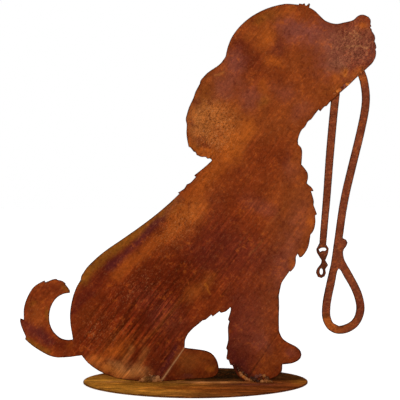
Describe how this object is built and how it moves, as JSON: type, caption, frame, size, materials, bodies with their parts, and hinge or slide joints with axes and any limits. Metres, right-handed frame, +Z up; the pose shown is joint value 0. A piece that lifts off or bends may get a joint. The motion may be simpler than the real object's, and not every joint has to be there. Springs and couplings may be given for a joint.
{
  "type": "rusted steel dog silhouette sculpture",
  "caption": "Flat cut-steel silhouette of a sitting puppy with its head raised and a lead in its mouth, welded upright on a round steel base plate, all rusted.",
  "frame": {"origin": "underside of the base plate, below the figure's sheet, midway along the plate's width", "axes": "+Z up, +X the way the dog faces, along its sheet; -Y towards the viewer in the picture"},
  "size_m": [0.57, 0.359, 0.6073],
  "materials": {
    "sheet_rust": "rusted red-brown with orange streaks",
    "plate_rust": "rusted golden brown",
    "lead_rust": "fine mauve-brown rust",
    "weld_rust": "rippled weld metal, rusted"
  },
  "bodies": {
    "root": {"base_plate": "plate_rust", "dog_sheet": "sheet_rust", "lead": "lead_rust", "weld_rump": "weld_rust", "weld_front_leg": "weld_rust", "weld_strap_rear": "weld_rust", "weld_strap_front": "weld_rust"}
  },
  "joints": []
}
